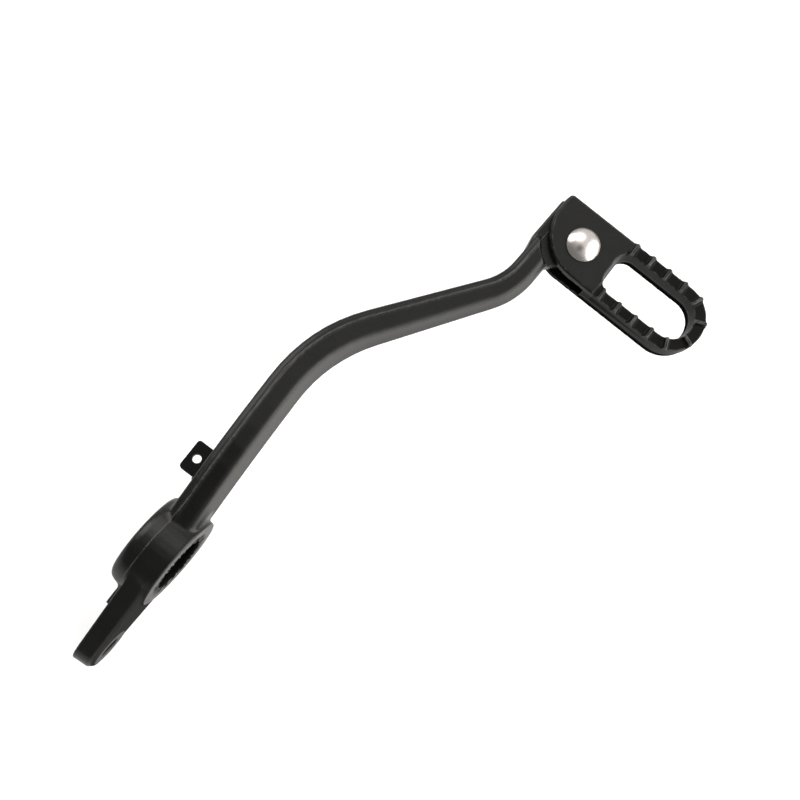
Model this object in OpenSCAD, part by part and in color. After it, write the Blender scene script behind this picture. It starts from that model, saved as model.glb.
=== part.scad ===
// Rear brake pedal: a forged lever with a cast toe piece that folds on a rivet.
// The origin is the centre of the pivot bore. +X is forward, +Y inboard, +Z up.

/* [Pivot boss] */
// Diameter of the pivot bore
bore_d = 20; // [16:0.5:24]
// Outside diameter of the boss at the parting line
boss_d = 37.6; // [35:0.2:44]
// Length of the boss outboard of the parting line
boss_out = 10.4; // [8:0.2:13]
// Length of the boss inboard of the parting line
boss_in = 6.1; // [4:0.2:8]
// Depth of the chamfer at both ends of the bore
bore_chamfer = 0.8; // [0.3:0.1:1.5]
// Rounding of the inboard rim of the boss
boss_round = 2.6; // [1:0.2:3.4]
// Draft of the boss's outboard half, in degrees
boss_draft = 1; // [0:0.5:5]
// Draft of the rest of the forging, in degrees
forge_draft = 5; // [2:0.5:8]

/* [Lower arm] */
// Distance from the pivot bore to the clevis pin hole
arm_reach = 42; // [34:0.5:52]
// Slope of the lower arm below the horizontal, in degrees
arm_slope = 27; // [10:1:50]
// Thickness of the lower arm
arm_thick = 8; // [6:0.25:10]
// Radius of the arm's end round the clevis pin hole
arm_end_r = 10.2; // [8:0.2:12]
// Half width of the arm at the boss
arm_root_r = 18; // [12:0.5:18]
// Diameter of the clevis pin hole
clevis_d = 8; // [6:0.25:10]
// How far the trimmed flash stands out round the arm's inboard edge
arm_lip = 0.7; // [0:0.1:1.2]
// Height of the machined pad round the clevis pin hole
clevis_pad = 0.5; // [0.2:0.1:1]
// Chamfer along the arm's edges
arm_bevel = 1.2; // [0.6:0.2:2.2]
// Inboard height of the stop lug on the arm
lug_height = 1.6; // [1:0.2:3]
// Length of the stop lug along the arm
lug_length = 5.5; // [3:0.5:12]

/* [Bar] */
// Width of the bar at the boss
bar_w_root = 12; // [10:0.2:14]
// Height of the bar at the boss
bar_h_root = 19; // [15:0.5:22]
// Width of the bar at the tongue
bar_w_tip = 9.4; // [8:0.2:10.4]
// Height of the bar at the tongue
bar_h_tip = 12; // [10:0.5:13]
// How far forward the first bend lies
bend_one_x = 88.6; // [78:0.2:100]
// How far inboard the first bend lies
bend_one_in = 4; // [-2:0.5:10]
// How far forward the second bend lies
bend_two_x = 149.4; // [140:0.2:156]
// Height of the bar's middle after its first rise
bar_rise = 17; // [10:0.5:26]
// Height of the flash left along the parting line
flash_height = 0.35; // [0.1:0.05:0.6]
// Width of the flash left along the parting line
flash_width = 0.8; // [0.4:0.1:1.4]

/* [Toe hinge] */
// Forward distance from the pivot bore to the rivet
hinge_x = 177.5; // [170:0.5:190]
// Outboard distance from the pivot bore's middle to the rivet
hinge_out = 43.4; // [40:0.2:48]
// Height of the tongue's middle at the rivet
hinge_z = 13.7; // [8:0.1:20]
// Lean of the rivet, outboard at its top, in degrees
hinge_lean = 6; // [0:0.5:10]
// Thickness of the tongue
tongue_t = 6; // [4.6:0.1:6.6]
// Radius of the tongue's eye
eye_r = 9; // [8:0.2:9.6]
// Clearance between the tongue and each ear
ear_gap = 0.2; // [0.1:0.05:0.4]
// Diameter of the rivet's shank
shank_d = 7; // [6:0.25:8]
// Radial clearance of the tongue's eye on the shank
eye_clear = 0.05; // [0.02:0.01:0.09]

/* [Toe piece] */
// Width of the toe piece at its parting line
toe_w = 26.2; // [24:0.2:30]
// Distance from the rivet to the middle of the round end
toe_reach = 40.6; // [36:0.2:48]
// Distance from the rivet to the square end of the fork
fork_back = 15.2; // [14:0.2:17]
// Radius of the lower ear's rear corner
fork_corner_r = 14.3; // [11:0.2:16]
// Radius of the upper ear's rear corner
ear_corner_r = 17.8; // [12:0.2:18.4]
// Setback of the upper ear's rear edge from the lower ear's
ear_setback = 0.8; // [0:0.1:1.4]
// Thickness of the upper ear
ear_upper_t = 3.4; // [3:0.1:5]
// Thickness of the lower ear
ear_lower_t = 2.4; // [2:0.1:4]
// Room between the tongue's eye and the slot's closed end
slot_room = 1; // [0.6:0.1:1.6]
// Thickness of the web that closes the fork in front
web_t = 3.3; // [2.4:0.1:3.6]
// Forward turn of the toe piece, in degrees
toe_turn = 3; // [0:0.5:6]
// Width of the rail round the window, at its parting line
rail_w = 5; // [4:0.1:6]
// Distance from the rivet to the window's near end
window_start = 14; // [13.4:0.2:17]
// Slope of the window's near end, as a length above its parting line
window_slope = 1.2; // [0:0.1:1.6]
// Draft of the casting above its parting line, in degrees
draft_up = 3; // [1:0.5:5]
// Draft of the casting below its parting line, in degrees
draft_down = 3; // [1:0.5:6]

/* [Teeth] */
// Spacing of the teeth along the rails
tooth_pitch = 7.3; // [6:0.1:9]
// Height of the teeth above the tread
tooth_h = 1.9; // [1:0.1:2.6]
// Drop from the flat plate to the tread
tread_drop = 0.5; // [0:0.1:1]
// Width of a tooth's crest
tooth_crest = 1; // [0.6:0.1:1.6]
// Length of a tooth's sloping sides
tooth_ramp = 0.6; // [0.3:0.1:1.6]

/* [Rivet] */
// Diameter of the rivet's dome head
head_d = 12.3; // [10:0.1:13]
// Height of the rivet's dome head
head_h = 3.2; // [2:0.1:4]
// Diameter of the peened tail
tail_d = 9.4; // [8.6:0.1:10.5]
// Height of the peened tail
tail_h = 1.6; // [1:0.1:2.2]
// Outside diameter of the washer under the tail
washer_d = 13; // [11:0.2:15]
// Thickness of the washer under the tail
washer_t = 1; // [0.6:0.1:1.4]

/* [Return spring] */
// Diameter of the spring wire
wire_d = 0.9; // [0.7:0.05:1]
// Clearance of the coil in its pocket
coil_clear = 0.3; // [0.2:0.05:0.5]
// Full turns of the coil
coil_turns = 2; // [1:1:2]

/* [Spring tab] */
// Width of the tab along the bar
tab_w = 11.8; // [8:0.2:15]
// Reach of the tab from the bar's side
tab_reach = 7.6; // [6:0.2:10]
// Thickness of the tab
tab_t = 2.5; // [1.5:0.1:3.5]
// Diameter of the hole in the tab
tab_hole_d = 3.3; // [2.5:0.1:4.2]
// How far forward the middle of the tab lies
tab_x = 31.5; // [28:0.5:45]
// Corner radius of the tab
tab_round = 1.2; // [0.8:0.1:2.5]

/* [Hidden] */
// Overlap of cutting shapes past the faces that they cut
extra = 1;

// Boss and arm
boss_face_out = -(boss_out + boss_in) / 2;
boss_face_in = (boss_out + boss_in) / 2;
boss_split = boss_face_out + boss_out;
bore_stock = 3;
rim_chamfer = 0.3;
arm_offset = 1.45;
arm_face_out = boss_face_out + arm_offset;
arm_face_in = arm_face_out + arm_thick;
arm_root_drop = 0.6;
arm_crown = arm_bevel / 4;
clevis_margin = 0.4;
lug_width = 12;
lug_shift = 2;

// Toe piece, in the frame of the rivet
toe_half = toe_w / 2;
window_half = toe_half - rail_w;
window_corner_r = 5;
front_corner_r = 1.8;
slot_half = tongue_t / 2 + ear_gap;
slot_depth = eye_r + slot_room;
toe_top = slot_half + ear_upper_t;
toe_bottom = -slot_half - ear_lower_t;
toe_split = 0.2;
toe_bevel = 0.6;
tread_back = 0.3;
tread_top = toe_top - tread_drop;
tooth_base = 2 * tooth_ramp + tooth_crest;
tooth_proud = 0.3;
first_tooth = window_start + 1.8;
rail_teeth = 4;
end_teeth = [-67, -23, 23, 67];

// Tongue, which the web of the toe piece rests on
stop_front = max(toe_half - web_t, eye_r + ear_gap);
stop_gap = 0.03;
tongue_proud = 0.6;
tongue_inboard = fork_back + tongue_proud;
tongue_root = 15;
root_taper = 1.5;

// Bar
bar_step_r = fork_corner_r + 0.8;
bar_end_x = hinge_x - 7.6;
bar_end_out = hinge_out - 9.6;
bar_start = [6, -1.5, 6];
rise_x = 38;
rise_share = 0.39;
rise_spread = 1;
tip_fall = 0.5;
bend_reach = [22, 20, 8];

// Rivet and spring
dome_edge = 0.5;
tail_edge = 0.5;
wire_room = 0.1;
coil_r = shank_d / 2 + coil_clear + wire_d / 2;
coil_pitch = wire_d + 0.05;
coil_sweep = 360 * coil_turns - 90;
coil_h = wire_d + coil_pitch * coil_sweep / 360;
pocket_r = coil_r + wire_d / 2 + coil_clear;
pocket_depth = coil_h + 0.4;
coil_top = -tongue_t / 2 + pocket_depth - wire_room - wire_d / 2;
leg_angle = 150;
leg_length = 5.6;
foot_bend = 1;
foot_angle = leg_angle + 90 + coil_sweep;
foot_end = 0.5;

// Spring tab
tab_hole_shift = 0.3;
tab_drop = 3.6;
tab_turn = 3;
tab_root = 4;
weld_r = 1.5;

// Points along an arc, in order
function arc(cx, cy, r, from, to, n) = [
    for (i = [0:n])
        let (a = from + (to - from) * i / n)
        [cx + r * cos(a), cy + r * sin(a)]
];

// Rounded corner of the bar's path between two straight runs
function bend(before, corner, after, reach, n) =
    let (p = corner + reach * (before - corner) / norm(before - corner))
    let (q = corner + reach * (after - corner) / norm(after - corner))
    [for (i = [0:n])
        let (t = i / n)
        (1 - t) * (1 - t) * p + 2 * t * (1 - t) * corner + t * t * q
    ];

rise_y = bar_start.y + (bend_one_in - bar_start.y) * rise_share;
bar_knots = [
    bar_start,
    [rise_x, rise_y, bar_rise - rise_spread],
    [bend_one_x, bend_one_in, bar_rise + rise_spread],
    [bend_two_x, -bar_end_out, hinge_z + tip_fall],
    [bar_end_x, -bar_end_out, hinge_z]
];

bar_path = concat(
    [bar_knots[0]],
    bend(bar_knots[0], bar_knots[1], bar_knots[2], bend_reach[0], 5),
    bend(bar_knots[1], bar_knots[2], bar_knots[3], bend_reach[1], 8),
    bend(bar_knots[2], bar_knots[3], bar_knots[4], bend_reach[2], 7),
    [bar_knots[4]]
);
bar_rings = len(bar_path);

// How much of the bar's root width and height is left at a forward distance
function width_share(x) = lookup(x, [[92, 1], [100, 0.88], [110, 0.7], [124, 0.38], [140, 0.14], [154, 0]]);
function height_share(x) = lookup(x, [[12, 1], [45, 0.86], [92, 0.5], [109, 0.33], [125, 0.14], [142, 0]]);
function bar_w(x) = bar_w_tip + (bar_w_root - bar_w_tip) * width_share(x);
function bar_h(x) = bar_h_tip + (bar_h_root - bar_h_tip) * height_share(x);
function bar_mid_y(x) = lookup(x, [for (p = bar_path) [p.x, p.y]]);
function bar_mid_z(x) = lookup(x, [for (p = bar_path) [p.x, p.z]]);

// Upper half of the bar's section, from its inboard to its outboard side
function half_section(w, h) =
    let (inner_r = 0.16 * w)
    let (outer_r = 0.36 * w)
    let (split = -0.25 * w)
    let (inner_top = h / 2 - 0.25 * w * tan(12))
    let (outer_top = h / 2 - (0.75 * w - outer_r) * tan(forge_draft))
    concat(
        arc(-w / 2 + inner_r, inner_top - inner_r, inner_r, 180, 102, 3),
        [
            [split - flash_width / 2, h / 2],
            [split - flash_width / 4, h / 2 + flash_height],
            [split + flash_width / 4, h / 2 + flash_height],
            [split + flash_width / 2, h / 2]
        ],
        arc(w / 2 - outer_r, outer_top - outer_r, outer_r, 90 - forge_draft, 0, 6)
    );

function full_section(w, h) =
    let (upper = half_section(w, h))
    let (n = len(upper))
    concat(upper, [for (i = [0:n - 1]) [upper[n - 1 - i].x, -upper[n - 1 - i].y]]);

// Direction of the bar's path seen from above
function plan_dir(i) =
    let (a = bar_path[max(i - 1, 0)])
    let (b = bar_path[min(i + 1, bar_rings - 1)])
    let (d = [b.x - a.x, b.y - a.y])
    d / norm(d);

function bar_ring(i) =
    let (p = bar_path[i])
    let (d = plan_dir(i))
    [for (s = full_section(bar_w(p.x), bar_h(p.x)))
        [p.x + s.x * d.y, p.y - s.x * d.x, p.z + s.y]
    ];

// Middle of a ring of points
function ring_middle(ring) = [for (p = ring) 1 / len(ring)] * ring;

// Solid through closed rings of equal point count
module skin(rings) {
    n = len(rings[0]);
    last = len(rings) - 1;
    sides = [for (i = [0:last - 1])
        for (j = [0:n - 1])
            let (k = (j + 1) % n)
            each [
                [i * n + j, (i + 1) * n + k, i * n + k],
                [i * n + j, (i + 1) * n + j, (i + 1) * n + k]
            ]
    ];
    caps = [for (j = [0:n - 1])
        let (k = (j + 1) % n)
        each [
            [(last + 1) * n, j, k],
            [(last + 1) * n + 1, last * n + k, last * n + j]
        ]
    ];
    points = concat([for (r = rings) each r], [ring_middle(rings[0]), ring_middle(rings[last])]);
    polyhedron(points = points, faces = concat(sides, caps));
}

// Solid between flat outlines, each given as [height, points]
module loft(levels) {
    skin([for (l = levels) [for (p = l[1]) [p.x, p.y, l[0]]]]);
}

module bar_body() {
    skin([for (i = [0:bar_rings - 1]) bar_ring(i)]);
}

// Frame of the toe hinge: its origin is the tongue's middle on the rivet
module at_hinge() {
    translate([hinge_x, -hinge_out, hinge_z])
        rotate([hinge_lean, 0, 0])
        children();
}

// Frame of the toe piece: +X outboard along the ring, +Y forward
module along_toe() {
    at_hinge()
        rotate([0, 0, toe_turn - 90])
        children();
}

// Turns a shape drawn round Z so that it stands round Y, pointing inboard
module round_y() {
    rotate([-90, 0, 0])
        children();
}

// Frame of the lower arm: +X from the pivot to the clevis pin hole
module along_arm() {
    rotate([0, 180 - arm_slope, 0])
        round_y()
        children();
}

module boss_body() {
    out_r = boss_d / 2 - boss_out * tan(boss_draft);
    in_r = boss_d / 2 - boss_in * tan(forge_draft);
    round_y()
        rotate_extrude($fn = 96) {
            difference() {
                polygon([
                    [bore_d / 2 - bore_stock, boss_face_out],
                    [out_r - rim_chamfer, boss_face_out],
                    [out_r, boss_face_out + rim_chamfer],
                    [boss_d / 2, boss_split],
                    [in_r, boss_face_in],
                    [bore_d / 2 - bore_stock, boss_face_in]
                ]);
                translate([in_r - boss_round, boss_face_in - boss_round])
                    square(boss_round + extra);
            }
            translate([in_r - boss_round, boss_face_in - boss_round])
                circle(r = boss_round, $fn = 48);
        }
}

module arm_disc(r, from, to) {
    translate([0, 0, from])
        cylinder(r = r, h = to - from, $fn = 40);
}

module arm_body() {
    root_face = arm_face_out - arm_root_drop;
    pad_face = arm_face_out + clevis_pad;
    lug_start = bore_d / 2 + bore_stock;
    along_arm() {
        hull() {
            arm_disc(arm_root_r - arm_bevel, root_face, arm_face_in);
            arm_disc(arm_root_r, root_face + arm_bevel, arm_face_in - arm_crown);
            arm_disc(arm_root_r + arm_lip, arm_face_in - arm_crown, arm_face_in);
            translate([arm_reach, 0, 0]) {
                arm_disc(arm_end_r - arm_bevel, pad_face, arm_face_in - arm_crown);
                arm_disc(arm_end_r, pad_face + arm_bevel, arm_face_in - arm_crown);
                arm_disc(arm_end_r + arm_lip, arm_face_in - arm_crown, arm_face_in);
            }
        }
        translate([arm_reach, 0, arm_face_out])
            cylinder(r = arm_end_r - arm_bevel - clevis_margin, h = arm_thick / 2, $fn = 64);
        translate([lug_start, -lug_shift, arm_face_in - lug_height])
            cube([boss_d / 2 - lug_start + lug_length, lug_width, 2 * lug_height]);
    }
}

// How far forward the tongue's front edge lies, at a distance inboard of the rivet
function front_edge_x(y) = (stop_front - y * sin(toe_turn)) / cos(toe_turn);

module tongue_body() {
    waist_y = eye_r * 0.3;
    translate([0, 0, -tongue_t / 2]) {
        cylinder(r = eye_r, h = tongue_t, $fn = 96);
        linear_extrude(height = tongue_t)
            polygon([
                [-tongue_root, tongue_inboard - root_taper],
                [-tongue_root / 2, tongue_inboard],
                [front_edge_x(tongue_inboard), tongue_inboard],
                [front_edge_x(waist_y), waist_y],
                [eye_r * 0.9, -eye_r * 0.36],
                [0, 0],
                [-eye_r * 0.95, -eye_r * 0.1],
                [-tongue_root, hinge_out - bar_end_out - bar_w_tip / 2 + extra]
            ]);
    }
}

// Clears the bar's end above and below the tongue, so that the ears can turn
module ear_sweep() {
    depth = bar_h_root;
    for (side = [tongue_t / 2, -tongue_t / 2 - depth])
        translate([0, 0, side])
            cylinder(r = bar_step_r, h = depth, $fn = 96);
}

module pivot_bore() {
    chamfer_d = bore_d + 4 * bore_chamfer;
    round_y() {
        translate([0, 0, boss_face_out - extra])
            cylinder(d = bore_d, h = boss_out + boss_in + 2 * extra, $fn = 96);
        translate([0, 0, boss_face_in - bore_chamfer])
            cylinder(d1 = bore_d, d2 = chamfer_d, h = 2 * bore_chamfer, $fn = 96);
        translate([0, 0, boss_face_out - bore_chamfer])
            cylinder(d1 = chamfer_d, d2 = bore_d, h = 2 * bore_chamfer, $fn = 96);
    }
}

module clevis_hole() {
    along_arm()
        translate([arm_reach, 0, arm_face_out - extra])
        cylinder(d = clevis_d, h = arm_thick + 2 * extra, $fn = 64);
}

// Room in the tongue for the rivet, the coil and the spring's upper leg
module tongue_pocket() {
    groove = wire_d + 2 * wire_room;
    translate([0, 0, -tongue_t / 2 - extra]) {
        cylinder(r = shank_d / 2 + eye_clear, h = tongue_t + 2 * extra, $fn = 64);
        cylinder(r = pocket_r, h = pocket_depth + extra, $fn = 64);
        rotate([0, 0, leg_angle])
            translate([0, coil_r - groove / 2, 0])
            cube([leg_length + wire_room, groove, pocket_depth + extra]);
    }
}

module lever_forging() {
    color("#26272a")
        difference() {
            union() {
                boss_body();
                arm_body();
                difference() {
                    bar_body();
                    at_hinge()
                        ear_sweep();
                }
                at_hinge()
                    tongue_body();
            }
            pivot_bore();
            clevis_hole();
            at_hinge()
                tongue_pocket();
        }
}

// Where a circle of a given radius touches the fork's square end
function fork_end(y, r) = -(fork_back - r - y * sin(toe_turn)) / cos(toe_turn);

// Outline of the toe piece, drawn in by a gap all round; the upper ear has its own rear corner
function toe_outline(gap, upper) =
    let (r = upper ? ear_corner_r : fork_corner_r)
    let (rear_y = r - toe_half + (upper ? ear_setback : 0))
    let (front_y = toe_half - front_corner_r)
    concat(
        arc(toe_reach, 0, toe_half - gap, -90, 90, 24),
        arc(fork_end(front_y, front_corner_r), front_y, front_corner_r - gap, 90, 180 - toe_turn, 4),
        arc(fork_end(rear_y, r), rear_y, r - gap, 180 - toe_turn, 270, 12)
    );

// Outline of the window, widened by a gap all round and by a slope at its near end
function window_outline(gap, slope) =
    let (near = window_start + window_corner_r - slope)
    let (c = window_half - window_corner_r)
    concat(
        arc(toe_reach, 0, window_half + gap, -90, 90, 18),
        arc(near, c, window_corner_r + gap, 90, 180, 6),
        arc(near, -c, window_corner_r + gap, 180, 270, 6)
    );

// How far the draft draws in the toe piece at a height
function toe_draft(z) = z > toe_split ? (z - toe_split) * tan(draft_up) : (toe_split - z) * tan(draft_down);

module toe_window() {
    up = toe_draft(toe_top);
    loft([
        [toe_bottom - extra, window_outline(toe_draft(toe_bottom), 0)],
        [toe_split, window_outline(0, 0)],
        [toe_top, window_outline(up, window_slope)],
        [toe_top + tooth_h + extra, window_outline(up, window_slope)]
    ]);
}

// One tooth of the tread, with its crest's middle at the origin
module tooth() {
    width = rail_w + 4 * extra;
    translate([0, width / 2, 0])
        rotate([90, 0, 0])
        linear_extrude(height = width)
        polygon([
            [-tooth_base / 2, -extra],
            [tooth_base / 2, -extra],
            [tooth_base / 2, 0],
            [tooth_crest / 2, tooth_h],
            [-tooth_crest / 2, tooth_h],
            [-tooth_base / 2, 0]
        ]);
}

module toe_teeth() {
    rail_mid = (toe_half + window_half) / 2;
    translate([0, 0, tread_top]) {
        for (side = [-1, 1])
            for (i = [0:rail_teeth - 1])
                translate([first_tooth + i * tooth_pitch, side * rail_mid, 0])
                    tooth();
        translate([toe_reach, 0, 0])
            for (a = end_teeth)
                rotate([0, 0, a])
                    translate([rail_mid, 0, 0])
                    rotate([0, 0, 90])
                    tooth();
    }
}

// The toe piece before its window, slot and holes are cut
module toe_casting() {
    up = toe_draft(toe_top);
    difference() {
        loft([
            [toe_bottom, toe_outline(toe_draft(toe_bottom), false)],
            [toe_split, toe_outline(0, false)],
            [slot_half, toe_outline(toe_draft(slot_half), true)],
            [toe_top - toe_bevel, toe_outline(up, true)],
            [toe_top, toe_outline(up + toe_bevel, true)]
        ]);
        rotate([0, 0, -toe_turn])
            translate([window_start - tread_back, -toe_w, tread_top])
            cube([2 * toe_reach, 2 * toe_w, tread_drop + extra]);
    }
    intersection() {
        toe_teeth();
        translate([0, 0, tread_top - extra])
            loft([
                [0, toe_outline(up - tooth_proud, true)],
                [tooth_h + 2 * extra, toe_outline(up, true)]
            ]);
    }
}

module toe_piece() {
    reach = 2 * toe_w;
    color("#2a2b2d")
        difference() {
            along_toe()
                difference() {
                    toe_casting();
                    toe_window();
                    translate([-reach, -reach, -slot_half])
                        cube([reach + slot_depth, reach + stop_front + stop_gap, 2 * slot_half]);
                }
            at_hinge()
                translate([0, 0, toe_bottom - extra]) {
                    cylinder(d = shank_d, h = toe_top - toe_bottom + 2 * extra, $fn = 64);
                    translate(foot_place())
                        cylinder(d = wire_d + 2 * wire_room, h = ear_lower_t + 2 * extra, $fn = 24);
                }
        }
}

module hinge_rivet() {
    head_r = head_d / 2;
    dome_h = head_h - dome_edge;
    dome_r = (head_r * head_r + dome_h * dome_h) / (2 * dome_h);
    tail_z = toe_bottom - washer_t;
    tail_r = tail_d / 2;
    tail_dome_h = tail_h - tail_edge;
    tail_dome_r = (tail_r * tail_r + tail_dome_h * tail_dome_h) / (2 * tail_dome_h);
    color("#d8d9db")
        at_hinge()
        rotate_extrude($fn = 96) {
            translate([0, tail_z - tail_edge])
                square([shank_d / 2, toe_top + dome_edge - tail_z + tail_edge]);
            translate([0, toe_top])
                square([head_r, dome_edge]);
            translate([0, tail_z - tail_edge])
                square([tail_r, tail_edge]);
            intersection() {
                translate([0, toe_top + head_h - dome_r])
                    circle(r = dome_r, $fn = 96);
                translate([0, toe_top + dome_edge])
                    square([head_r, dome_h]);
            }
            intersection() {
                translate([0, tail_z - tail_h + tail_dome_r])
                    circle(r = tail_dome_r, $fn = 96);
                translate([0, tail_z - tail_h])
                    square([tail_r, tail_dome_h]);
            }
        }
}

module tail_washer() {
    color("#b9bbbe")
        at_hinge()
        translate([0, 0, toe_bottom - washer_t])
        difference() {
            cylinder(d = washer_d, h = washer_t, $fn = 64);
            translate([0, 0, -extra])
                cylinder(d = shank_d + 2 * wire_room, h = washer_t + 2 * extra, $fn = 64);
        }
}

// Directions away from and along the coil, at an angle round the rivet
function outward(a) = [cos(a), sin(a), 0];
function along(a) = [-sin(a), cos(a), 0];

// Where the spring's foot goes down into the lower ear
function foot_place() = coil_r * outward(foot_angle) + foot_bend * along(foot_angle);

// Round section of the spring's wire, set across two directions
function wire_ring(centre, side, across) = [
    for (a = [0:30:330])
        centre + wire_d / 2 * (cos(a) * side + sin(a) * across)
];

function coil_ring(sweep, back) =
    let (a = leg_angle + 90 + sweep)
    let (z = coil_top - coil_pitch * sweep / 360)
    wire_ring([0, 0, z] + coil_r * outward(a) - back * along(a), outward(a), [0, 0, -1]);

function foot_ring(turn, drop) =
    let (a = foot_angle)
    let (ahead = foot_bend * sin(turn))
    let (z = coil_top - coil_pitch * coil_sweep / 360 - foot_bend * (1 - cos(turn)) - drop)
    let (centre = [0, 0, z] + coil_r * outward(a) + ahead * along(a))
    wire_ring(centre, outward(a), [0, 0, -cos(turn)] - sin(turn) * along(a));

// One wire: a leg in the tongue's groove, the coil and a foot in the lower ear
module return_spring() {
    bend_z = coil_top - coil_pitch * coil_sweep / 360 - foot_bend;
    color("#8d9094")
        at_hinge()
        skin(concat(
            [coil_ring(0, leg_length)],
            [for (sweep = [0:15:coil_sweep]) coil_ring(sweep, 0)],
            [for (turn = [15:15:90]) foot_ring(turn, 0)],
            [foot_ring(90, bend_z - toe_bottom - foot_end)]
        ));
}

module tab_plate() {
    inner_w = tab_w - 2 * tab_round;
    linear_extrude(height = tab_t, center = true) {
        translate([-tab_w / 2, -tab_root])
            square([tab_w, tab_root + tab_reach - tab_round]);
        translate([-inner_w / 2, 0])
            square([inner_w, tab_reach]);
        for (side = [-1, 1])
            translate([side * inner_w / 2, tab_reach - tab_round])
                circle(r = tab_round, $fn = 32);
    }
}

// Frame of the spring tab, on the bar's inboard side
module at_tab() {
    translate([tab_x, bar_mid_y(tab_x) + bar_w(tab_x) / 2, bar_mid_z(tab_x) - tab_drop])
        rotate([0, 0, tab_turn])
        children();
}

module spring_tab() {
    color("#202123")
        difference() {
            at_tab()
                difference() {
                    tab_plate();
                    translate([0, tab_reach / 2 + tab_hole_shift, -tab_t])
                        cylinder(d = tab_hole_d, h = 2 * tab_t, $fn = 32);
                }
            bar_body();
        }
}

module tab_weld() {
    color("#2c2d30")
        difference() {
            at_tab()
                hull()
                for (x = [-tab_w / 2, tab_w / 2])
                    for (z = [-tab_t / 2, tab_t / 2])
                        translate([x, 0, z])
                            sphere(r = weld_r, $fn = 20);
            bar_body();
            at_tab()
                tab_plate();
        }
}

lever_forging();
spring_tab();
tab_weld();
toe_piece();
hinge_rivet();
tail_washer();
return_spring();
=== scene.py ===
import math
import bmesh
import bpy
import numpy as np
from mathutils import Matrix, Vector


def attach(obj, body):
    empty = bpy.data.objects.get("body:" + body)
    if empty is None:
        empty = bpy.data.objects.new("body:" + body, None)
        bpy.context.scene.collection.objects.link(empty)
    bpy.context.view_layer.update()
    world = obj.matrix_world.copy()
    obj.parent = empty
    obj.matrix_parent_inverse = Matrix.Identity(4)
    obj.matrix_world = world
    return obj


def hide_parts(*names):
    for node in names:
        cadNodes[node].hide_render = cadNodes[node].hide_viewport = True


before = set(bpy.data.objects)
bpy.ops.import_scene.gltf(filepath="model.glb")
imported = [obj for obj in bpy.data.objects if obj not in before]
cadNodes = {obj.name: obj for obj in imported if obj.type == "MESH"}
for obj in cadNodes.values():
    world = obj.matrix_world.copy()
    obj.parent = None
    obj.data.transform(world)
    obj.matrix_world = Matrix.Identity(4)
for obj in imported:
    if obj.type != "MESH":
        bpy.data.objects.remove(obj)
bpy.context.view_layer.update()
mm = 0.001
print("frame loaded:", len(cadNodes), "nodes")


hinge = {"at": (177.5, -43.4, 13.7), "lean": 6.0, "toeTurn": 3.0}  # mm and degrees, the rivet's middle

lean = Matrix.Rotation(math.radians(hinge["lean"]), 4, "X")
hingeFrame = Matrix.Translation(Vector(hinge["at"])) @ lean
toeFrame = hingeFrame @ Matrix.Rotation(math.radians(hinge["toeTurn"] - 90), 4, "Z")


def addObject(name, data):
    item = bpy.data.objects.new(name, data)
    bpy.context.scene.collection.objects.link(item)
    return item


def place(name, points, faces, where):
    # points in mm; the object itself stays at the origin, in metres
    mesh = bpy.data.meshes.new(name)
    mesh.from_pydata([(where @ Vector(p)) * mm for p in points], [], faces)
    mesh.update()
    return addObject(name, mesh)


def shadeSoft(piece, sharpFrom=40):
    piece.data.shade_smooth()
    piece.data.set_sharp_from_angle(angle=math.radians(sharpFrom))


def turned(name, profile, where, steps=128):
    # a profile of (radius, height) turned round the local Z axis
    points, rows = [], []
    for radius, height in profile:
        if radius < 1e-6:
            rows.append([len(points)] * steps)
            points.append((0, 0, height))
            continue
        rows.append(list(range(len(points), len(points) + steps)))
        for i in range(steps):
            a = 2 * math.pi * i / steps
            points.append((radius * math.cos(a), radius * math.sin(a), height))
    faces = []
    for low, high in zip(rows[:-1], rows[1:]):
        for i in range(steps):
            j = (i + 1) % steps
            face = []
            for v in (low[i], low[j], high[j], high[i]):
                if v not in face:
                    face.append(v)
            if len(face) > 2:
                faces.append(face)
    return place(name, points, faces, where)


def readPoints(mesh):
    flat = np.empty(len(mesh.vertices) * 3)
    mesh.vertices.foreach_get("co", flat)
    return flat.reshape(-1, 3) / mm


def writePoints(mesh, points):
    mesh.vertices.foreach_set("co", (points * mm).ravel())
    mesh.update()


def edgeEnds(mesh):
    ends = np.empty(len(mesh.edges) * 2, dtype=np.int64)
    mesh.edges.foreach_get("vertices", ends)
    return ends.reshape(-1, 2)


def relax(points, ends, rounds, pull):
    # moves each point towards the middle of its neighbours
    count = np.bincount(ends.ravel(), minlength=len(points))[:, None]
    for _ in range(rounds):
        middle = np.empty_like(points)
        for axis in range(3):
            middle[:, axis] = np.bincount(ends[:, 0], points[ends[:, 1], axis], len(points))
            middle[:, axis] += np.bincount(ends[:, 1], points[ends[:, 0], axis], len(points))
        points = points + pull * (middle / count - points)
    return points


def even(points, ends, rounds, pull=0.5, push=-0.52):
    # takes the steps off; the push back keeps the shape from shrinking
    for _ in range(rounds):
        points = relax(points, ends, 1, pull)
        points = relax(points, ends, 1, push)
    return points


def ramp(value, low, high):
    t = np.clip((value - low) / (high - low), 0, 1)  # also falls, where low is above high
    return t * t * (3 - 2 * t)


def fineCopy(nodeName, name, cell):
    # an even, dense skin over a CAD solid, as a new object
    copy = addObject(name + "Raw", cadNodes[nodeName].data.copy())
    work = bmesh.new()
    work.from_mesh(copy.data)
    bmesh.ops.remove_doubles(work, verts=work.verts, dist=1e-6)
    work.to_mesh(copy.data)
    work.free()
    cells = copy.modifiers.new("cells", "REMESH")
    cells.mode = "VOXEL"
    cells.voxel_size = cell * mm
    seen = copy.evaluated_get(bpy.context.evaluated_depsgraph_get())
    mesh = bpy.data.meshes.new_from_object(seen)
    mesh.name = name
    mesh.materials.clear()
    bpy.data.objects.remove(copy)
    return addObject(name, mesh)


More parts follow.
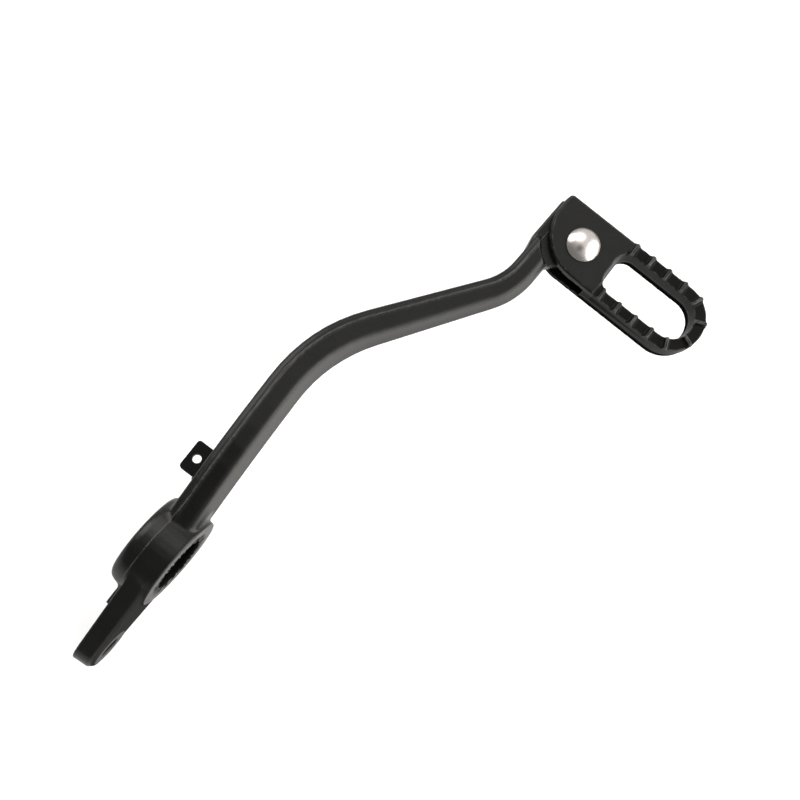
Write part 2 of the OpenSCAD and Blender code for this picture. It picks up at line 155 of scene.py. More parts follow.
def keepValues(mesh, name, values):
    layer = mesh.attributes.new(name, "FLOAT", "POINT")
    layer.data.foreach_set("value", np.ascontiguousarray(values, dtype=np.float32))


def markShape(mesh, points, ends, rounds, fullAt, share=1.0):
    # how far in mm each point stands out of, or back from, its smoothed surroundings
    writePoints(mesh, points)
    normals = np.empty(len(points) * 3)
    mesh.vertices.foreach_get("normal", normals)
    normals = normals.reshape(-1, 3)
    stand = ((points - relax(points, ends, rounds, 0.5)) * normals).sum(axis=1)
    # the edge value feeds edge wear and a painted edge highlight; the crease value feeds dust and, on
    # the casting, painted shade
    keepValues(mesh, "edge", np.clip(stand / fullAt, 0, 1) * share)
    keepValues(mesh, "crease", np.clip(-stand / fullAt, 0, 1))


# mm; a pair says where something starts and where it is full
forging = {
    "cell": 0.45,               # between the skin's points
    "evenRounds": 5,
    "bossRadius": 18.7,         # where the bar runs into the boss
    "filletReach": 1.7,
    "filletPull": 0.6,
    "filletRounds": 14,
    "filletBeside": (6, 11),    # away from the bore's middle plane
    "filletBehind": (1.2, 2.6),  # behind the machined face
    "boreRadius": 10.0,
    "boreHalf": 7.3,            # half of the bore's wall, short of its chamfers
    "boreCatch": 0.25,
    "faceOut": -8.25,           # the boss's machined outboard face
    "faceCatch": 0.14,
    "faceRing": (10.9, 18.1),   # inner and outer radius
    "splitBoss": 2.15,          # parting plane at the boss and the arm
    "splitMix": (10, 24),       # from the boss's parting plane to the bar's
    "splitShare": 0.25,         # of the bar's width, inboard of its middle
    "wearHighlightEnds": (158, 166),     # no edge wear and no painted edge highlight further forward, under the ears
    "shapeRounds": 10,
    "shapeFull": 0.16,
    "knots": [(6, -1.5), (38, 0.645), (88.6, 4.0), (149.4, -33.8), (169.9, -33.8)],
    "reach": [0, 22, 20, 8, 0],
    "widths": [(92, 12.0), (100, 11.69), (110, 11.22), (124, 10.39), (140, 9.76), (154, 9.4)],
}


def barLine(steps=24):
    # the middle of the bar seen from above, at close steps
    knots = [np.array(k, float) for k in forging["knots"]]
    line = [knots[0]]
    for before, corner, after, reach in zip(knots[:-2], knots[1:-1], knots[2:], forging["reach"][1:-1]):
        start = corner + reach * (before - corner) / np.linalg.norm(before - corner)
        stop = corner + reach * (after - corner) / np.linalg.norm(after - corner)
        for t in np.linspace(0, 1, steps):
            line.append((1 - t) ** 2 * start + 2 * t * (1 - t) * corner + t * t * stop)
    line.append(knots[-1])
    return np.array(line)


def partingGap(points):
    # sideways distance in mm from the forging's parting line, inboard positive
    line = barLine()
    step = np.gradient(line, axis=0)
    step /= np.linalg.norm(step, axis=1)[:, None]
    middle = np.interp(points[:, 0], line[:, 0], line[:, 1])
    slant = np.interp(points[:, 0], line[:, 0], step[:, 0])
    width = np.interp(points[:, 0], *zip(*forging["widths"]))
    onBar = (points[:, 1] - middle) * slant - forging["splitShare"] * width
    onBoss = points[:, 1] - forging["splitBoss"]
    mix = ramp(points[:, 0], *forging["splitMix"])
    return onBoss * (1 - mix) + onBar * mix


def roundBossRoots(points, ends):
    # softer fillets where the bar and the arm leave the boss
    radius = np.hypot(points[:, 0], points[:, 2])
    near = np.exp(-((radius - forging["bossRadius"]) / forging["filletReach"]) ** 2)
    near *= ramp(np.abs(points[:, 0]), *forging["filletBeside"])
    near *= ramp(points[:, 1] - forging["faceOut"], *forging["filletBehind"])
    return relax(points, ends, forging["filletRounds"], forging["filletPull"] * near[:, None])


def snapMachined(points):
    # the bore's wall and the outboard face go back to their exact size
    radius = np.hypot(points[:, 0], points[:, 2])
    inBore = radius < forging["boreRadius"] + forging["boreCatch"]
    inBore &= np.abs(points[:, 1]) < forging["boreHalf"]
    for axis in (0, 2):
        points[inBore, axis] *= forging["boreRadius"] / radius[inBore]
    inner, outer = forging["faceRing"]
    onFace = (radius > inner) & (radius < outer)
    onFace &= np.abs(points[:, 1] - forging["faceOut"]) < forging["faceCatch"]
    points[onFace, 1] = forging["faceOut"]


def buildForging():
    piece = fineCopy("lever_forging", "leverForging", forging["cell"])
    mesh = piece.data
    points, ends = readPoints(mesh), edgeEnds(mesh)
    points = even(points, ends, forging["evenRounds"])
    points = roundBossRoots(points, ends)
    snapMachined(points)
    share = 1 - ramp(points[:, 0], *forging["wearHighlightEnds"])
    markShape(mesh, points, ends, forging["shapeRounds"], forging["shapeFull"], share)
    keepValues(mesh, "partingGap", partingGap(points))
    mesh.shade_smooth()
    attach(piece, "lever")
    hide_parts("lever_forging")
    print("forging:", len(mesh.polygons), "faces")
    return piece


# mm, along the toe piece's own axes, from the rivet
casting = {
    "cell": 0.285,
    "evenRounds": 1,
    "shapeRounds": 6,
    "shapeFull": 0.07,
    "split": 0.2,              # height of the parting line on the window's walls
    "splitFar": 9.0,           # the value kept away from those walls
    "windowFrom": 13,
    "ringEnd": 40.6,
    "windowHalf": 8.1,
    "wallDepth": 0.9,
    "plateEnd": 13.7,
    "plateTop": 6.6,
    "treadFrom": (0.2, 0.4),   # below the plate's top
    "treadDull": 0.6,
    "undersideDull": (4.5, -2.5),
}


def keepCastingValues(mesh, points):
    back = np.array(toeFrame.inverted())
    x, y, z = (points @ back[:3, :3].T + back[:3, 3]).T
    # height above the parting line on the window's walls, far off anywhere else
    across = np.hypot(np.maximum(x - casting["ringEnd"], 0), y)
    inside = (across < casting["windowHalf"] + casting["wallDepth"]) & (x > casting["windowFrom"])
    keepValues(mesh, "splitGap", np.where(inside, z - casting["split"], casting["splitFar"]))
    # the coat is duller between the teeth and towards the underside
    start, full = casting["treadFrom"]
    tread = ramp(z, casting["plateTop"] - start, casting["plateTop"] - full)
    tread *= x > casting["plateEnd"]
    underside = ramp(z, *casting["undersideDull"])
    keepValues(mesh, "dull", np.maximum(casting["treadDull"] * tread, underside))


def buildToePiece():
    piece = fineCopy("toe_piece", "toePiece", casting["cell"])
    mesh = piece.data
    points, ends = readPoints(mesh), edgeEnds(mesh)
    points = even(points, ends, casting["evenRounds"])
    markShape(mesh, points, ends, casting["shapeRounds"], casting["shapeFull"])
    keepCastingValues(mesh, points)
    mesh.shade_smooth()
    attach(piece, "toe")
    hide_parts("toe_piece")
    print("toe piece:", len(mesh.polygons), "faces")
    return piece


# mm, along the hinge's axis
rivet = {
    "headRadius": 6.15, "headHeight": 3.2, "domeSteps": 24,
    "rimHeight": 0.5, "rimEdge": 0.2, "rimTuck": 0.12, "rimGap": 0.02,
    "top": 6.6, "shank": 3.5, "bottom": -6.6,
    "tailRadius": 4.7, "tailHeight": 1.6, "tailRim": 0.4, "tailSteps": 10,
}


def buildRivet():
    head, top, bottom, tail = rivet["headRadius"], rivet["top"], rivet["bottom"], rivet["tailRadius"]
    crown = top + rivet["headHeight"]
    dome = rivet["headHeight"] - rivet["rimHeight"]
    ball = (head * head + dome * dome) / (2 * dome)
    full = math.asin(min(1, head / ball))
    profile = [(0, crown)]
    for i in range(1, rivet["domeSteps"] + 1):
        a = full * i / rivet["domeSteps"]
        profile.append((ball * math.sin(a), crown - ball * (1 - math.cos(a))))
    profile.append((head, top + rivet["rimEdge"]))
    profile.append((head - rivet["rimTuck"], top + rivet["rimGap"]))
    profile += [(rivet["shank"], top), (rivet["shank"], bottom), (tail, bottom)]
    for i in range(rivet["tailSteps"] + 1):
        a = math.pi / 2 * i / rivet["tailSteps"]
        drop = rivet["tailRim"] + (rivet["tailHeight"] - rivet["tailRim"]) * math.sin(a)
        profile.append((tail * math.cos(a), bottom - drop))
    profile[-1] = (0, profile[-1][1])
    piece = turned("hingeRivet", profile[::-1], hingeFrame)
    shadeSoft(piece)
    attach(piece, "toe")
    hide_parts("hinge_rivet")
    return piece


washer = {"inner": 3.6, "outer": 6.5, "low": -6.6, "high": -5.6, "edge": 0.15, "steps": 96}


def buildWasher():
    inner, outer, low, high, e = (washer[k] for k in ("inner", "outer", "low", "high", "edge"))
    profile = [(inner, low), (outer - e, low), (outer, low + e), (outer, high - e), (outer - e, high)]
    profile += [(inner, high), (inner, low)]
    piece = turned("tailWasher", profile, hingeFrame, washer["steps"])
    shadeSoft(piece)
    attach(piece, "toe")
    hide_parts("tail_washer")
    return piece


def newGroup(name, inputs, outputs):
    group = bpy.data.node_groups.new(name, "ShaderNodeTree")
    for label, kind, value in inputs:
        socket = group.interface.new_socket(name=label, in_out="INPUT", socket_type=kind)
        if value is not None:
            socket.default_value = value
    for label in outputs:
        group.interface.new_socket(name=label, in_out="OUTPUT", socket_type="NodeSocketFloat")
    start = group.nodes.new("NodeGroupInput")
    end = group.nodes.new("NodeGroupOutput")
    return group, start.outputs, end.inputs


def feed(tree, socket, value):
    # a number is set on the socket, anything else is linked to it
    if isinstance(value, (int, float)):
        socket.default_value = value
    else:
        tree.links.new(value, socket)


def calc(tree, how, a, b=None, clamp=False):
    node = tree.nodes.new("ShaderNodeMath")
    node.operation = how
    node.use_clamp = clamp
    feed(tree, node.inputs[0], a)
    if b is not None:
        feed(tree, node.inputs[1], b)
    return node.outputs[0]


def times(tree, first, *others):
    for other in others:
        first = calc(tree, "MULTIPLY", first, other)
    return first


def distance(tree, a, b):
    return calc(tree, "SQRT", calc(tree, "ADD", times(tree, a, a), times(tree, b, b)))


def spread(tree, value, low, high, outLow=0.0, outHigh=1.0):
    node = tree.nodes.new("ShaderNodeMapRange")
    node.interpolation_type = "SMOOTHSTEP"
    tree.links.new(value, node.inputs["Value"])
    limits = {"From Min": low, "From Max": high, "To Min": outLow, "To Max": outHigh}
    for label, number in limits.items():
        feed(tree, node.inputs[label], number)
    return node.outputs["Result"]


def noise(tree, where, scale, detail=3.0, rough=0.5):
    # scale is per metre
    node = tree.nodes.new("ShaderNodeTexNoise")
    node.inputs["Detail"].default_value = detail
    node.inputs["Roughness"].default_value = rough
    feed(tree, node.inputs["Scale"], scale)
    tree.links.new(where, node.inputs["Vector"])
    return node.outputs["Fac"]


def blendColors(tree, amount, a, b):
    node = tree.nodes.new("ShaderNodeMix")
    node.data_type = "RGBA"
    tree.links.new(amount, node.inputs[0])
    for socket, color in ((node.inputs[6], a), (node.inputs[7], b)):
        if isinstance(color, tuple):
            socket.default_value = (*color, 1)
        else:
            tree.links.new(color, socket)
    return node.outputs[2]


def splitAxes(tree, vector):
    node = tree.nodes.new("ShaderNodeSeparateXYZ")
    tree.links.new(vector, node.inputs[0])
    return node.outputs


def placeInMm(tree, where):
    node = tree.nodes.new("ShaderNodeVectorMath")
    node.operation = "SCALE"
    node.inputs["Scale"].default_value = 1 / mm
    tree.links.new(where, node.inputs[0])
    return splitAxes(tree, node.outputs[0])


# the scale of every noise is per metre
grainLook = {"peelShare": 0.7, "pimpleShare": 0.45, "toneNoise": 95.0}
wearHighlightNoise = 420.0
dustLook = {
    "speckNoise": 1500.0, "speckCut": (0.56, 0.74),
    "patchNoise": 130.0, "patchCut": (0.42, 0.7), "patchLeast": 0.25, "creaseShare": 0.5,
}


def makePaintGrain():
    # orange peel, fine pimples and slow changes of tone in a sprayed coat
    group, given, result = newGroup(
        "paintGrain",
        [("Place", "NodeSocketVector", None),
         ("Peel", "NodeSocketFloat", 900.0),
         ("Pimples", "NodeSocketFloat", 3200.0)],
        ["Height", "Tone"],
    )
    peel = noise(group, given["Place"], given["Peel"], 2.0)
    pimples = noise(group, given["Place"], given["Pimples"], 2.0, 0.6)
    peel = times(group, peel, grainLook["peelShare"])
    pimples = times(group, pimples, grainLook["pimpleShare"])
    group.links.new(calc(group, "ADD", peel, pimples), result["Height"])
    group.links.new(noise(group, given["Place"], grainLook["toneNoise"], 4.0, 0.6), result["Tone"])
    return group


def makeEdgeWearAndHighlight():
    # a broken mask along the outer edges, from the value kept on the mesh; it stands both for paint
    # worn off the edges and for a painted highlight along them
    group, given, result = newGroup(
        "edgeWearAndHighlight",
        [("Place", "NodeSocketVector", None),
         ("Edge", "NodeSocketFloat", 0.0),
         ("From", "NodeSocketFloat", 0.4),
         ("To", "NodeSocketFloat", 0.9),
         ("Break", "NodeSocketFloat", 0.5)],
        ["Mask"],
    )
    centred = calc(group, "SUBTRACT", noise(group, given["Place"], wearHighlightNoise, 5.0, 0.65), 0.5)
    broken = calc(group, "ADD", given["Edge"], times(group, centred, given["Break"]))
    group.links.new(spread(group, broken, given["From"], given["To"]), result["Mask"])
    return group


def makeDust():
    # pale dust that settles in creases and thinly on top
    group, given, result = newGroup(
        "settledDust",
        [("Place", "NodeSocketVector", None),
         ("Crease", "NodeSocketFloat", 0.0),
         ("Amount", "NodeSocketFloat", 0.2)],
        ["Mask"],
    )
    fine = noise(group, given["Place"], dustLook["speckNoise"], 4.0, 0.7)
    specks = spread(group, fine, *dustLook["speckCut"])
    slow = noise(group, given["Place"], dustLook["patchNoise"], 4.0, 0.6)
    patches = spread(group, slow, *dustLook["patchCut"])
    film = times(group, specks, calc(group, "ADD", dustLook["patchLeast"], patches))
    inCreases = times(group, given["Crease"], dustLook["creaseShare"])
    both = calc(group, "ADD", inCreases, film)
    mask = calc(group, "MULTIPLY", both, given["Amount"], True)
    group.links.new(mask, result["Mask"])
    return group


paintGrain, edgeWearAndHighlight, settledDust = makePaintGrain(), makeEdgeWearAndHighlight(), makeDust()
dustColor = (0.3, 0.29, 0.27)
wearHighlightShare = 0.6  # how far the edge's wear and painted highlight shows against the painted highlight of a parting line


def useGroup(tree, group, **values):
    node = tree.nodes.new("ShaderNodeGroup")
    node.node_tree = group
    for label, value in values.items():
        feed(tree, node.inputs[label], value)
    return node.outputs


def keptValue(tree, name):
    node = tree.nodes.new("ShaderNodeAttribute")
    node.attribute_name = name
    return node.outputs["Fac"]


def newMaterial(name, roughness=0.5, metallic=0.0):
    material = bpy.data.materials.new(name)
    material.use_nodes = True
    tree = material.node_tree
    shader = tree.nodes["Principled BSDF"]
    shader.inputs["Roughness"].default_value = roughness
    shader.inputs["Metallic"].default_value = metallic
    where = tree.nodes.new("ShaderNodeTexCoord").outputs["Object"]
    return material, tree, shader, where


def bump(tree, shader, height, depth, strength):
    # depth in mm
    node = tree.nodes.new("ShaderNodeBump")
    node.inputs["Distance"].default_value = depth * mm
    node.inputs["Strength"].default_value = strength
    tree.links.new(height, node.inputs["Height"])
    tree.links.new(node.outputs["Normal"], shader.inputs["Normal"])


# the pale worn colour stands both for real edge wear and for painted highlights along the edges and the
# parting line
forgedPaint = {
    "dark": (0.0014, 0.0014, 0.0013), "pale": (0.0032, 0.0032, 0.003), "wearHighlightColor": (0.03, 0.0295, 0.028),
    # painted light: paler colours for the outboard sides of arm and bar, for the light they catch
    "armSidePaintedLight": (0.02, 0.02, 0.0195), "barSidePaintedLight": (0.074, 0.074, 0.072),
    "steel": (0.085, 0.085, 0.083), "steelDark": (0.004, 0.004, 0.004), "metalShare": 0.5,
    "sheen": 0.25, "roughness": 0.22, "roughnessTone": 0.12,
    "grainShare": 0.08, "lineShare": 0.7, "bumpDepth": 0.3, "bumpStrength": 0.6,
}

# mm; a pair says where something starts and where it is full
machined = {
    "faceDepth": (-8.12, -8.18), "faceEdge": (18.4, 18.2),
    "padDepth": (-6.4, -6.6), "padEdge": (7.9, 7.6), "padShare": 0.6,
    "pinReach": 42.0, "pinSlope": 27.0,  # the pin hole, from the bore
    "streakRound": 0.012, "streakOut": 0.00018,
    "streakNoise": 900.0, "streakCut": (0.42, 0.5),
    "raggedNoise": 500.0, "raggedBy": 5.0, "marksEdge": (17.2, 15.2),
}

dullPlaces = {
    "boreEdge": (11.2, 10.8),
    "armDepth": (-5.0, -6.4), "armFrom": (-10.0, -16.0),
    "barFrom": (14.0, 22.0), "barTo": (166.0, 156.0), "barFacing": (-0.42, -0.68),
}

partingLineHighlight = {
    "half": (0.3, 0.08), "facing": (0.75, 0.5),
    "noise": 260.0, "cut": (0.3, 0.6), "least": 0.35,
}


def makePartingLineHighlight(tree, where, sideways):
    # a thin raised line along the forging's split, also painted pale as a painted highlight, gone on
    # faces that look sideways
    line = spread(tree, calc(tree, "ABSOLUTE", keptValue(tree, "partingGap")), *partingLineHighlight["half"])
    upright = spread(tree, calc(tree, "ABSOLUTE", sideways), *partingLineHighlight["facing"])
    grain = noise(tree, where, partingLineHighlight["noise"], 4.0, 0.6)
    broken = spread(tree, grain, *partingLineHighlight["cut"], partingLineHighlight["least"], 1.0)
    return times(tree, line, upright, broken)


def findBareFaces(tree, x, y, z, radius):
    # the boss's outboard face and the pad round the pin hole
    onFace = spread(tree, y, *machined["faceDepth"])
    onFace = times(tree, onFace, spread(tree, radius, *machined["faceEdge"]))
    slope = math.radians(machined["pinSlope"])
    fromPinX = calc(tree, "ADD", x, machined["pinReach"] * math.cos(slope))
    fromPinZ = calc(tree, "ADD", z, machined["pinReach"] * math.sin(slope))
    fromPin = distance(tree, fromPinX, fromPinZ)
    nearPin = spread(tree, fromPin, *machined["padEdge"], 0.0, machined["padShare"])
    return onFace, times(tree, nearPin, spread(tree, y, *machined["padDepth"]))


def makeCutterMarks(tree, x, z, radius):
    # short dark marks that run outwards from the bore
    ring = tree.nodes.new("ShaderNodeCombineXYZ")
    tree.links.new(times(tree, calc(tree, "ARCTAN2", z, x), machined["streakRound"]), ring.inputs[0])
    tree.links.new(times(tree, radius, machined["streakOut"]), ring.inputs[1])
    grain = noise(tree, ring.outputs[0], machined["streakNoise"], 1.0, 0.6)
    streaks = spread(tree, grain, *machined["streakCut"])
    shift = times(tree, noise(tree, ring.outputs[0], machined["raggedNoise"]), machined["raggedBy"])
    ragged = calc(tree, "ADD", radius, shift)
    return times(tree, streaks, spread(tree, ragged, *machined["marksEdge"]))


def findDullPlaces(tree, x, y, radius, sideways):
    # the coat is thin and dull in the bore and on the outboard sides of arm and bar; the side masks
    # also carry the painted light that makes those two sides paler
    inBore = spread(tree, radius, *dullPlaces["boreEdge"])
    onArm = spread(tree, y, *dullPlaces["armDepth"])
    onArm = times(tree, onArm, spread(tree, x, *dullPlaces["armFrom"]))
    alongBar = spread(tree, x, *dullPlaces["barFrom"])
    alongBar = times(tree, alongBar, spread(tree, x, *dullPlaces["barTo"]))
    onSide = times(tree, spread(tree, sideways, *dullPlaces["barFacing"]), alongBar)
    return inBore, onArm, onSide


def makeForgedPaint():
    material, tree, shader, where = newMaterial("forgedPaint")
    grain = useGroup(tree, paintGrain, Place=where, Peel=800.0, Pimples=3000.0)
    edge = keptValue(tree, "edge")
    wearAndHighlight = useGroup(tree, edgeWearAndHighlight, Place=where, Edge=edge, From=0.55, To=1.1, Break=0.5)
    dust = useGroup(tree, settledDust, Place=where, Crease=keptValue(tree, "crease"), Amount=0.03)
    x, y, z = placeInMm(tree, where)
    radius = distance(tree, x, z)
    sideways = splitAxes(tree, tree.nodes.new("ShaderNodeNewGeometry").outputs["Normal"])["Y"]
    line = makePartingLineHighlight(tree, where, sideways)
    onFace, onPad = findBareFaces(tree, x, y, z, radius)
    marks = makeCutterMarks(tree, x, z, radius)
    inBore, onArm, onSide = findDullPlaces(tree, x, y, radius, sideways)

    bare = calc(tree, "ADD", onFace, onPad, True)
    steel = blendColors(tree, marks, forgedPaint["steel"], forgedPaint["steelDark"])
    # painted highlight: pale colour on the parting line, and on the edges where it is partly real wear
    # and partly painted highlight
    wearAndHighlightMask = calc(tree, "MAXIMUM", times(tree, wearAndHighlight["Mask"], wearHighlightShare), line)
    paint = blendColors(tree, grain["Tone"], forgedPaint["dark"], forgedPaint["pale"])
    paint = blendColors(tree, wearAndHighlightMask, paint, forgedPaint["wearHighlightColor"])
    paint = blendColors(tree, dust["Mask"], paint, dustColor)
    # painted light: the outboard sides of arm and bar are paler for the light they catch
    paint = blendColors(tree, onArm, paint, forgedPaint["armSidePaintedLight"])
    paint = blendColors(tree, onSide, paint, forgedPaint["barSidePaintedLight"])
    tree.links.new(blendColors(tree, bare, paint, steel), shader.inputs["Base Color"])

    metal = times(tree, bare, calc(tree, "SUBTRACT", 1.0, marks), forgedPaint["metalShare"])
    tree.links.new(metal, shader.inputs["Metallic"])
    dull = calc(tree, "MAXIMUM", inBore, onArm)
    dull = calc(tree, "MAXIMUM", dull, calc(tree, "MAXIMUM", onFace, onSide))
    sheen = spread(tree, dull, 0.0, 1.0, forgedPaint["sheen"], 0.0)
    tree.links.new(sheen, shader.inputs["Specular IOR Level"])
    tone = times(tree, grain["Tone"], forgedPaint["roughnessTone"])
    tree.links.new(calc(tree, "ADD", tone, forgedPaint["roughness"]), shader.inputs["Roughness"])
    fine = times(tree, grain["Height"], forgedPaint["grainShare"])
    height = calc(tree, "ADD", fine, times(tree, line, forgedPaint["lineShare"]))
    bump(tree, shader, height, forgedPaint["bumpDepth"], forgedPaint["bumpStrength"])
    return material


# the pale worn colour stands both for real edge wear and for painted highlights along the edges and the
# flash line
castPaint = {
    "dark": (0.002, 0.002, 0.0019), "pale": (0.0045, 0.0045, 0.0042), "wearHighlightColor": (0.075, 0.074, 0.07),
    # painted shade: a near-black colour for the creases, where shade falls
    "crease": (0.001, 0.001, 0.001), "creaseShare": 0.8,
    "sheen": 0.2, "roughness": 0.32, "roughnessTone": 0.16, "bumpDepth": 0.03, "bumpStrength": 0.7,
    "flashHalf": (0.3, 0.1), "flashNoise": 300.0, "flashCut": (0.3, 0.5), "flashRange": (0.3, 0.8),
}


def makeFlashHighlight(tree, where):
    # a painted highlight along the casting's parting line on the window's walls
    line = spread(tree, calc(tree, "ABSOLUTE", keptValue(tree, "splitGap")), *castPaint["flashHalf"])
    grain = noise(tree, where, castPaint["flashNoise"])
    return times(tree, line, spread(tree, grain, *castPaint["flashCut"], *castPaint["flashRange"]))


def makeCastPaint():
    material, tree, shader, where = newMaterial("castPaint")
    crease = keptValue(tree, "crease")
    grain = useGroup(tree, paintGrain, Place=where, Peel=1100.0, Pimples=3800.0)
    edge = keptValue(tree, "edge")
    wearAndHighlight = useGroup(tree, edgeWearAndHighlight, Place=where, Edge=edge, From=0.5, To=1.05, Break=0.45)
    dust = useGroup(tree, settledDust, Place=where, Crease=crease, Amount=0.03)
    # painted highlight: pale colour on the flash line, and on the edges where it is partly real wear
    # and partly painted highlight
    wearAndHighlightMask = calc(tree, "MAXIMUM", times(tree, wearAndHighlight["Mask"], wearHighlightShare), makeFlashHighlight(tree, where))
    paint = blendColors(tree, grain["Tone"], castPaint["dark"], castPaint["pale"])
    # painted shade: darker in the creases
    paint = blendColors(tree, times(tree, crease, castPaint["creaseShare"]), paint, castPaint["crease"])
    paint = blendColors(tree, wearAndHighlightMask, paint, castPaint["wearHighlightColor"])
    paint = blendColors(tree, dust["Mask"], paint, dustColor)
    tree.links.new(paint, shader.inputs["Base Color"])
    sheen = spread(tree, keptValue(tree, "dull"), 0.0, 1.0, castPaint["sheen"], 0.0)
    tree.links.new(sheen, shader.inputs["Specular IOR Level"])
    tone = times(tree, grain["Tone"], castPaint["roughnessTone"])
    tree.links.new(calc(tree, "ADD", tone, castPaint["roughness"]), shader.inputs["Roughness"])
    bump(tree, shader, grain["Height"], castPaint["bumpDepth"], castPaint["bumpStrength"])
    return material


tabCoat = {
    "dark": (0.0008, 0.0008, 0.0007), "pale": (0.002, 0.002, 0.0018),
    "sheen": 0.09, "roughness": 0.4, "bumpDepth": 0.03, "bumpStrength": 0.6,
}


def makeTabPaint():
    material, tree, shader, where = newMaterial("tabPaint", tabCoat["roughness"])
    grain = useGroup(tree, paintGrain, Place=where, Peel=1300.0, Pimples=4200.0)
    paint = blendColors(tree, grain["Tone"], tabCoat["dark"], tabCoat["pale"])
    tree.links.new(paint, shader.inputs["Base Color"])
    shader.inputs["Specular IOR Level"].default_value = tabCoat["sheen"]
    bump(tree, shader, grain["Height"], tabCoat["bumpDepth"], tabCoat["bumpStrength"])
    return material


# color, roughness and how much rougher the scuffs are
brightMetals = {
    "polishedStainless": ((0.52, 0.49, 0.47), 0.24, 0.05),
    "zincPlate": ((0.6, 0.61, 0.62), 0.32, 0.12),
    "springWire": ((0.45, 0.46, 0.47), 0.3, 0.1),
}
metalSkin = {
    "noise": 900.0, "darker": 0.94, "scuffCut": (0.3, 0.8),
    "bumpDepth": 0.004, "bumpStrength": 0.5,
}


def makeBrightMetal(name):
    color, roughness, scuffs = brightMetals[name]
    material, tree, shader, where = newMaterial(name, roughness, 1.0)
    fine = noise(tree, where, metalSkin["noise"], 4.0, 0.6)
    darker = tuple(c * metalSkin["darker"] for c in color)
    tree.links.new(blendColors(tree, fine, darker, color), shader.inputs["Base Color"])
    rough = spread(tree, fine, *metalSkin["scuffCut"], roughness, roughness + scuffs)
    tree.links.new(rough, shader.inputs["Roughness"])
    bump(tree, shader, fine, metalSkin["bumpDepth"], metalSkin["bumpStrength"])
    return material


def dress(piece, material):
    piece.data.materials.clear()
    piece.data.materials.append(material)


print("pieces and materials")
dress(buildForging(), makeForgedPaint())
dress(buildToePiece(), makeCastPaint())
dress(buildRivet(), makeBrightMetal("polishedStainless"))
dress(buildWasher(), makeBrightMetal("zincPlate"))
tabPaint = makeTabPaint()
for nodeName in ("spring_tab", "tab_weld"):
    dress(cadNodes[nodeName], tabPaint)
dress(cadNodes["return_spring"], makeBrightMetal("springWire"))


# the camera's place in metres and its own axes in the shared frame
view = {
    "sensor": 36, "lens": 77.142857, "clipStart": 0.01,
    "at": (-0.0216262, -0.0816597, 0.6028586),
    "right": (0.642408, -0.764151, 0.058184),
    "up": (0.742408, 0.639365, 0.200107),
    "back": (-0.190113, -0.085354, 0.978045),
}

# metres
floorLook = {
    "height": -0.03, "half": 1.6,
    "color": (0.55, 0.55, 0.55, 1), "sheen": 0.1, "roughness": 0.9, "lift": 0.46,
}

# each part of the sky: its direction, the dot products where it starts and is full, what it adds
sky = {
    "ahead": {"towards": (0.75, -0.3, 0.6), "from": -0.25, "full": 0.75, "adds": 0.8},
    "softboxOutboard": {"towards": (0.33, -0.9, 0.28), "from": 0.68, "full": 0.86, "adds": 4.4},
    "softboxInboard": {"towards": (0.45, 0.5, 0.74), "from": 0.86, "full": 0.97, "adds": 2.2},
    "softboxLow": {"towards": (0.1, 0.87, 0.48), "from": 0.92, "full": 0.97, "adds": 3.5},
}
skyBase = 0.32
skyColor = (1.0, 0.985, 0.965, 1)

# the tent is darker round the lens, which shows as a dark spot in the rivet
lensShade = {
    "towards": (-0.3, -0.065, 0.952),
    "rings": [{"from": 0.9, "full": 0.985, "left": 0.6}, {"from": 0.965, "full": 0.99, "left": 0.3}],
}

# metres
panels = {
    "panelLeft": {"at": (-0.5, 0.7, 0.7), "size": (0.9, 0.9), "power": 1.2},
    "panelRight": {"at": (0.6, -0.8, 0.55), "size": (0.9, 0.7), "power": 1.2},
}
panelAim = (0.08, 0, 0)


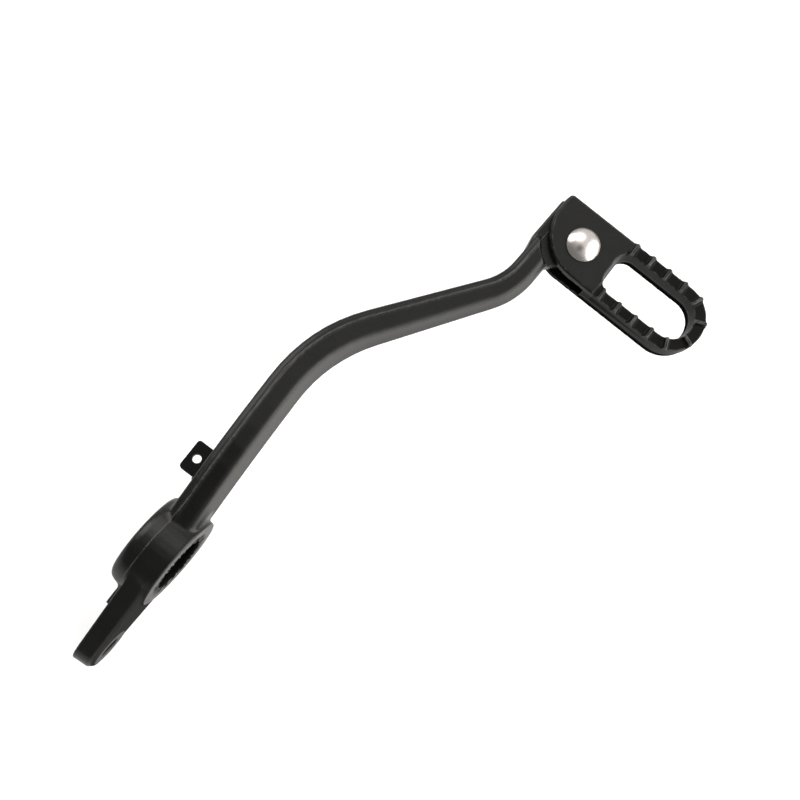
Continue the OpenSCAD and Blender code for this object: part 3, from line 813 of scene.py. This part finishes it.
def makeFloor():
    h, z = floorLook["half"], floorLook["height"]
    mesh = bpy.data.meshes.new("studioFloor")
    mesh.from_pydata([(-h, -h, z), (h, -h, z), (h, h, z), (-h, h, z)], [], [(0, 1, 2, 3)])
    floor = addObject("studioFloor", mesh)
    material, tree, shader = newMaterial("studioFloor", floorLook["roughness"])[:3]
    shader.inputs["Base Color"].default_value = floorLook["color"]
    shader.inputs["Specular IOR Level"].default_value = floorLook["sheen"]
    shader.inputs["Emission Color"].default_value = (1, 1, 1, 1)
    path = tree.nodes.new("ShaderNodeLightPath")
    lift = times(tree, path.outputs["Is Camera Ray"], floorLook["lift"])
    tree.links.new(lift, shader.inputs["Emission Strength"])
    dress(floor, material)


def makeCamera():
    camera = addObject("camera", bpy.data.cameras.new("camera"))
    camera.data.lens = view["lens"]
    camera.data.sensor_width = view["sensor"]
    camera.data.clip_start = view["clipStart"]
    turn = Matrix((view["right"], view["up"], view["back"])).transposed()
    camera.matrix_world = Matrix.Translation(view["at"]) @ turn.to_4x4()
    bpy.context.scene.camera = camera


def addPanel(name, at, size, power):
    lamp = bpy.data.lights.new(name, "AREA")
    lamp.shape = "RECTANGLE"
    lamp.size, lamp.size_y = size
    lamp.energy = power
    panel = addObject(name, lamp)
    panel.location = at
    panel.rotation_euler = (Vector(panelAim) - Vector(at)).to_track_quat("-Z", "Y").to_euler()
    panel.visible_glossy = False


def towards(tree, ray, direction, start, full, outLow, outHigh):
    node = tree.nodes.new("ShaderNodeVectorMath")
    node.operation = "DOT_PRODUCT"
    node.inputs[1].default_value = direction
    tree.links.new(ray, node.inputs[0])
    return spread(tree, node.outputs["Value"], start, full, outLow, outHigh)


def makeWorld():
    # a tent of light: pale ahead, softboxes on both sides, dark round the lens
    world = bpy.data.worlds.new("studio")
    bpy.context.scene.world = world
    world.use_nodes = True
    tree = world.node_tree
    backdrop = tree.nodes["Background"]
    backdrop.inputs["Color"].default_value = skyColor
    ray = tree.nodes.new("ShaderNodeTexCoord").outputs["Generated"]
    level = skyBase
    for light in sky.values():
        added = towards(tree, ray, light["towards"], light["from"], light["full"], 0.0, light["adds"])
        level = calc(tree, "ADD", added, level)
    for ring in lensShade["rings"]:
        shade = towards(tree, ray, lensShade["towards"], ring["from"], ring["full"], 1.0, ring["left"])
        level = times(tree, level, shade)
    tree.links.new(level, backdrop.inputs["Strength"])


makeFloor()
makeCamera()
for name, panel in panels.items():
    addPanel(name, panel["at"], panel["size"], panel["power"])
makeWorld()
bpy.context.scene.view_settings.view_transform = "Standard"
print("studio ready")
